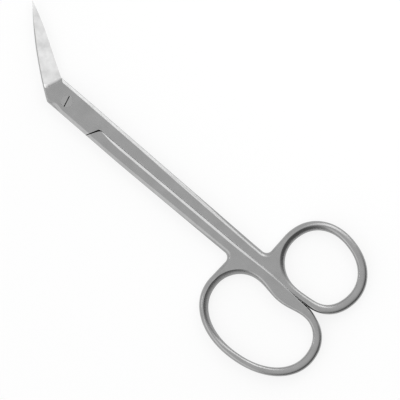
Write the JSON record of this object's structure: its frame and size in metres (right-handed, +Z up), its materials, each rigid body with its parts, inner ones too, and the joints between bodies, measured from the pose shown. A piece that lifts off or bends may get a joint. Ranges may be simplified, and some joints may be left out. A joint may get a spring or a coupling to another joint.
{
  "type": "angled surgical scissors",
  "caption": "Slim steel surgical scissors with short ground blades bent sideways from long straight shanks, a flush slotted pivot screw, a small round ring and a large oval ring.",
  "frame": {"origin": "on the pivot screw's axis, at the flat face that the closed scissors rest on", "axes": "+X from the pivot screw along the shanks to the finger rings, +Z up along the screw to its slotted head; the blades bend towards +Y and the small ring lies on the +Y side"},
  "size_m": [0.1597, 0.0609, 0.0044],
  "materials": {
    "front_half": "satin",
    "back_half": "satin",
    "pivot_screw": "satin"
  },
  "bodies": {
    "back": {"back_half": "back_half", "pivot_screw": "pivot_screw"},
    "front": {"front_half": "front_half"}
  },
  "joints": [
    {"name": "pivot", "type": "hinge", "parent": "back", "child": "front", "pos_m": [0, 0, 0.0022], "axis": [0, 0, 1], "range_deg": [0, 90]}
  ]
}
